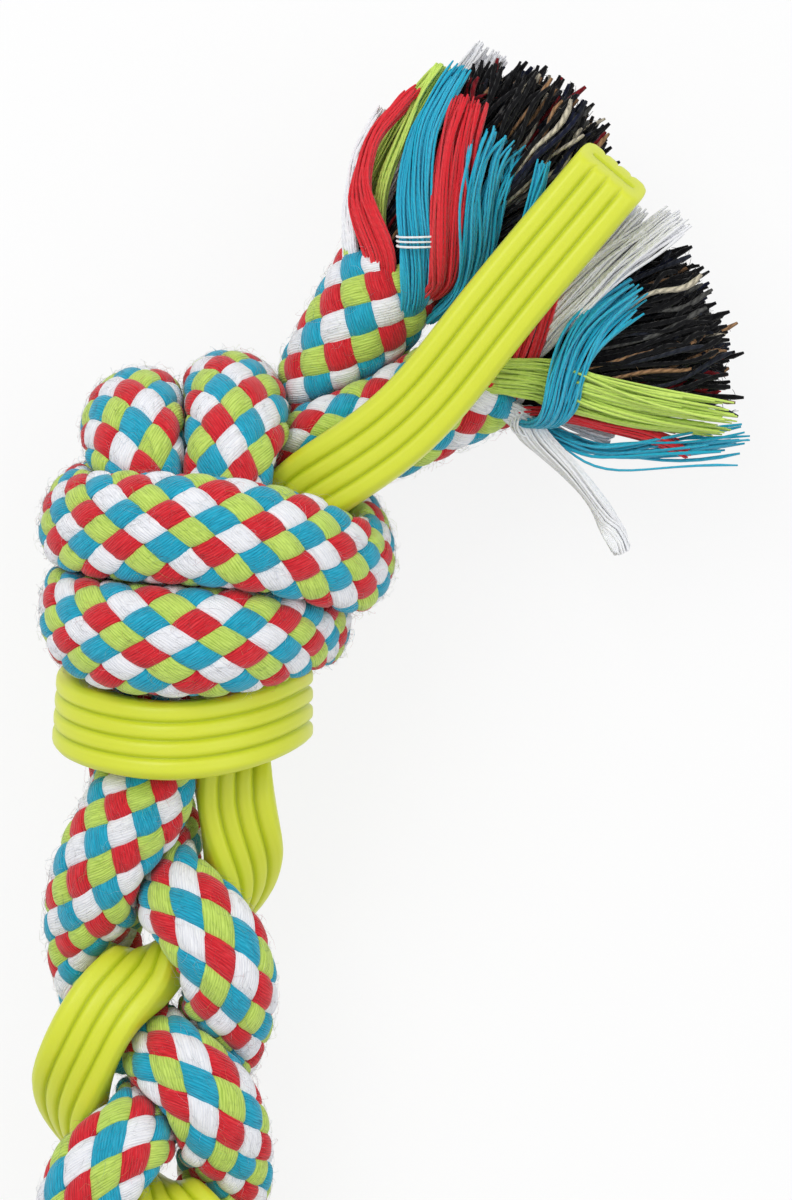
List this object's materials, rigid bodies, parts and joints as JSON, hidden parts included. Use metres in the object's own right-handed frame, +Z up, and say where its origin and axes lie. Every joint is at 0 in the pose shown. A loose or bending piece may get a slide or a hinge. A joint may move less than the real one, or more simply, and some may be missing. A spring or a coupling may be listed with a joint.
{
  "type": "rope dog toy",
  "caption": "Braided cotton ropes and a ribbed rubber strap plaited together, knotted at both ends and frayed into tassels, for a dog to chew and tug.",
  "frame": {"origin": "middle of the toy's box, at the height of the plane it lies on", "axes": "+Y along the toy from the far knot to the near one, +Z up, +X across"},
  "size_m": [0.1758, 0.3204, 0.057],
  "materials": {
    "braided_cotton": "braid of blue, red, lime and white cotton yarn",
    "ribbed_rubber": "satin moulded rubber",
    "core_yarn": "loose mixed dark yarn",
    "red_yarn": "loose cotton yarn",
    "lime_yarn": "loose cotton yarn",
    "blue_yarn": "loose cotton yarn",
    "white_yarn": "loose cotton yarn"
  },
  "bodies": {
    "root": {"rope_a": "braided_cotton", "rope_b": "braided_cotton", "strap": "ribbed_rubber", "rope_a_near_core_tuft": "core_yarn", "rope_a_near_bundle_1_red": "red_yarn", "rope_a_near_bundle_2_lime": "lime_yarn", "rope_a_near_bundle_3_blue": "blue_yarn", "rope_a_near_bundle_4_red": "red_yarn", "rope_a_near_bundle_5_blue": "blue_yarn", "rope_a_near_bundle_6_white": "white_yarn", "rope_a_near_bundle_7_lime": "lime_yarn", "rope_a_near_bundle_8_white": "white_yarn", "rope_a_near_binding_thread": "white_yarn", "rope_a_far_core_tuft": "core_yarn", "rope_a_far_bundle_1_red": "red_yarn", "rope_a_far_bundle_2_lime": "lime_yarn", "rope_a_far_bundle_3_blue": "blue_yarn", "rope_a_far_bundle_4_red": "red_yarn", "rope_a_far_bundle_5_blue": "blue_yarn", "rope_a_far_bundle_6_white": "white_yarn", "rope_a_far_bundle_7_lime": "lime_yarn", "rope_a_far_bundle_8_white": "white_yarn", "rope_a_far_binding_thread": "white_yarn", "rope_b_near_core_tuft": "core_yarn", "rope_b_near_bundle_1_white": "white_yarn", "rope_b_near_bundle_2_red": "red_yarn", "rope_b_near_bundle_3_blue": "blue_yarn", "rope_b_near_bundle_4_lime": "lime_yarn", "rope_b_near_bundle_5_red": "red_yarn", "rope_b_near_bundle_6_blue": "blue_yarn", "rope_b_near_bundle_7_lime": "lime_yarn", "rope_b_near_bundle_8_white": "white_yarn", "rope_b_near_binding_thread": "white_yarn", "rope_b_far_core_tuft": "core_yarn", "rope_b_far_bundle_1_white": "white_yarn", "rope_b_far_bundle_2_red": "red_yarn", "rope_b_far_bundle_3_blue": "blue_yarn", "rope_b_far_bundle_4_lime": "lime_yarn", "rope_b_far_bundle_5_red": "red_yarn", "rope_b_far_bundle_6_blue": "blue_yarn", "rope_b_far_bundle_7_lime": "lime_yarn", "rope_b_far_bundle_8_white": "white_yarn", "rope_b_far_binding_thread": "white_yarn"}
  },
  "joints": []
}
